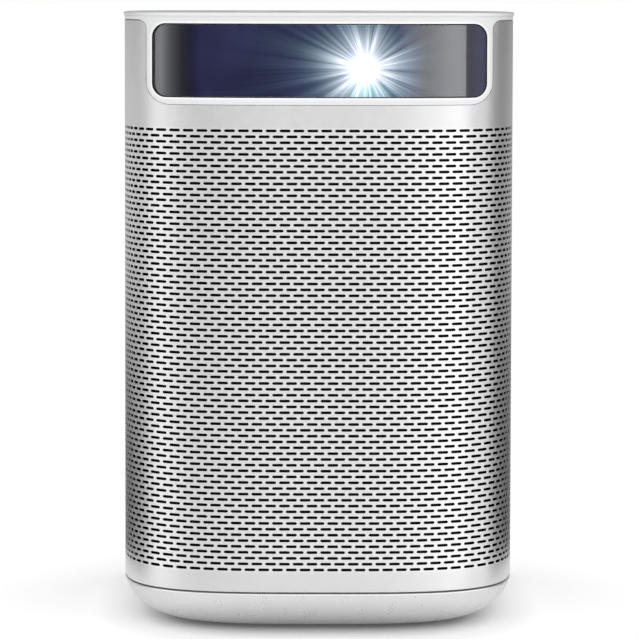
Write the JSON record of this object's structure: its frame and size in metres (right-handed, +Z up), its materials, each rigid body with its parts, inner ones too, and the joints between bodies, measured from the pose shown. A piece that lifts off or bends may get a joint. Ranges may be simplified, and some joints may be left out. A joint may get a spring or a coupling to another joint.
{
  "type": "home projector",
  "caption": "Palm-size upright home projector: perforated aluminium sleeve, white cap, wide dark window with an off-centre lens, rear ports and a tripod thread.",
  "frame": {"origin": "centre of the resting face, on the surface the foot stands on", "axes": "+Z up, -Y out of the front window, +Y out of the rear ports, +X to the viewer's right from the front"},
  "size_m": [0.095, 0.106, 0.146],
  "materials": {
    "sleeve_aluminium": "bead-blasted and clear anodised, silver",
    "cap_plastic": "satin white",
    "base_plastic": "satin silver-white paint",
    "window_glass": "dark tinted, polished",
    "lens_glass": "coated, polished",
    "black_plastic": "fine-textured black",
    "grey_plastic": "moulded dark grey",
    "rubber": "matt",
    "brass": "machined",
    "steel": "nickel plated",
    "copper": "bare copper, satin",
    "circuit_board": "green solder mask",
    "sink_aluminium": "extruded, plain",
    "cell_wrap": "blue shrink wrap",
    "cone_paper": "pressed paper",
    "light_pipe": "clear light pipe"
  },
  "bodies": {
    "body": {"base_cover": "base_plastic", "rubber_foot": "rubber", "tripod_insert": "brass", "base_screw_1": "steel", "base_screw_2": "steel", "base_screw_3": "steel", "base_screw_4": "steel", "sleeve": "sleeve_aluminium", "top_cap": "cap_plastic", "window": "window_glass", "window_gasket": "rubber", "light_shield": "black_plastic", "key_board": "circuit_board", "inner_housing": "black_plastic", "upper_frame": "black_plastic", "lens_barrel": "black_plastic", "rear_lens": "lens_glass", "focus_motor": "steel", "optical_engine": "black_plastic", "red_led": "copper", "blue_led": "copper", "green_led": "copper", "imager_board": "circuit_board", "heat_sink": "sink_aluminium", "heat_pipe": "copper", "fan_housing": "black_plastic", "battery_tray": "black_plastic", "battery_cell_1": "cell_wrap", "battery_cell_2": "cell_wrap", "battery_cell_3": "cell_wrap", "battery_cell_4": "cell_wrap", "left_speaker_frame": "black_plastic", "left_speaker_magnet": "steel", "right_speaker_frame": "black_plastic", "right_speaker_magnet": "steel", "main_board": "circuit_board", "rear_panel": "cap_plastic", "port_board": "circuit_board", "hdmi_port": "steel", "usb_port": "steel", "dc_jack": "grey_plastic", "audio_jack": "grey_plastic", "power_board": "circuit_board", "status_light": "light_pipe", "sensor_board": "circuit_board", "focus_camera": "black_plastic", "remote_receiver": "black_plastic"},
    "volume_down_button": {"volume_down_button": "cap_plastic"},
    "play_button": {"play_button": "cap_plastic"},
    "volume_up_button": {"volume_up_button": "cap_plastic"},
    "power_button": {"power_button": "cap_plastic"},
    "focus_ring": {"focus_ring": "grey_plastic"},
    "focus_pinion": {"focus_pinion": "brass"},
    "lens_cell": {"lens_cell": "black_plastic", "front_lens": "lens_glass"},
    "fan_rotor": {"fan_rotor": "grey_plastic"},
    "left_speaker_cone": {"left_speaker_cone": "cone_paper"},
    "right_speaker_cone": {"right_speaker_cone": "cone_paper"}
  },
  "joints": [
    {"name": "volume_down_press", "type": "slide", "parent": "body", "child": "volume_down_button", "axis": [0, 0, -1], "range_m": [0, 0.0006], "stiffness_N_per_m": 600},
    {"name": "play_press", "type": "slide", "parent": "body", "child": "play_button", "axis": [0, 0, -1], "range_m": [0, 0.0006], "stiffness_N_per_m": 600},
    {"name": "volume_up_press", "type": "slide", "parent": "body", "child": "volume_up_button", "axis": [0, 0, -1], "range_m": [0, 0.0006], "stiffness_N_per_m": 600},
    {"name": "power_press", "type": "slide", "parent": "body", "child": "power_button", "axis": [0, -1, 0], "range_m": [0, 0.0006], "stiffness_N_per_m": 600},
    {"name": "focus_turn", "type": "hinge", "parent": "body", "child": "focus_ring", "pos_m": [0.01, -0.0335, 0.1324], "axis": [0, -1, 0], "range_deg": [-60, 60]},
    {"name": "focus_drive", "type": "hinge", "parent": "body", "child": "focus_pinion", "pos_m": [-0.00196, -0.0335, 0.12682], "axis": [0, -1, 0], "range_deg": [-160.1, 160.1]},
    {"name": "lens_travel", "type": "slide", "parent": "body", "child": "lens_cell", "axis": [0, -1, 0], "range_m": [-0.0015, 0.0015]},
    {"name": "fan_spin", "type": "hinge", "parent": "body", "child": "fan_rotor", "pos_m": [0, 0.023, 0.1036], "axis": [0, 0, 1], "continuous": true},
    {"name": "left_speaker_stroke", "type": "slide", "parent": "body", "child": "left_speaker_cone", "axis": [-1, 0, 0], "range_m": [-0.0008, 0.0008], "stiffness_N_per_m": 600},
    {"name": "right_speaker_stroke", "type": "slide", "parent": "body", "child": "right_speaker_cone", "axis": [1, 0, 0], "range_m": [-0.0008, 0.0008], "stiffness_N_per_m": 600}
  ],
  "couplings": [
    {"joint": "focus_drive", "follows": "focus_turn", "ratio": -2.6667},
    {"joint": "lens_travel", "follows": "focus_turn", "m_per_rad": 0.001433}
  ]
}
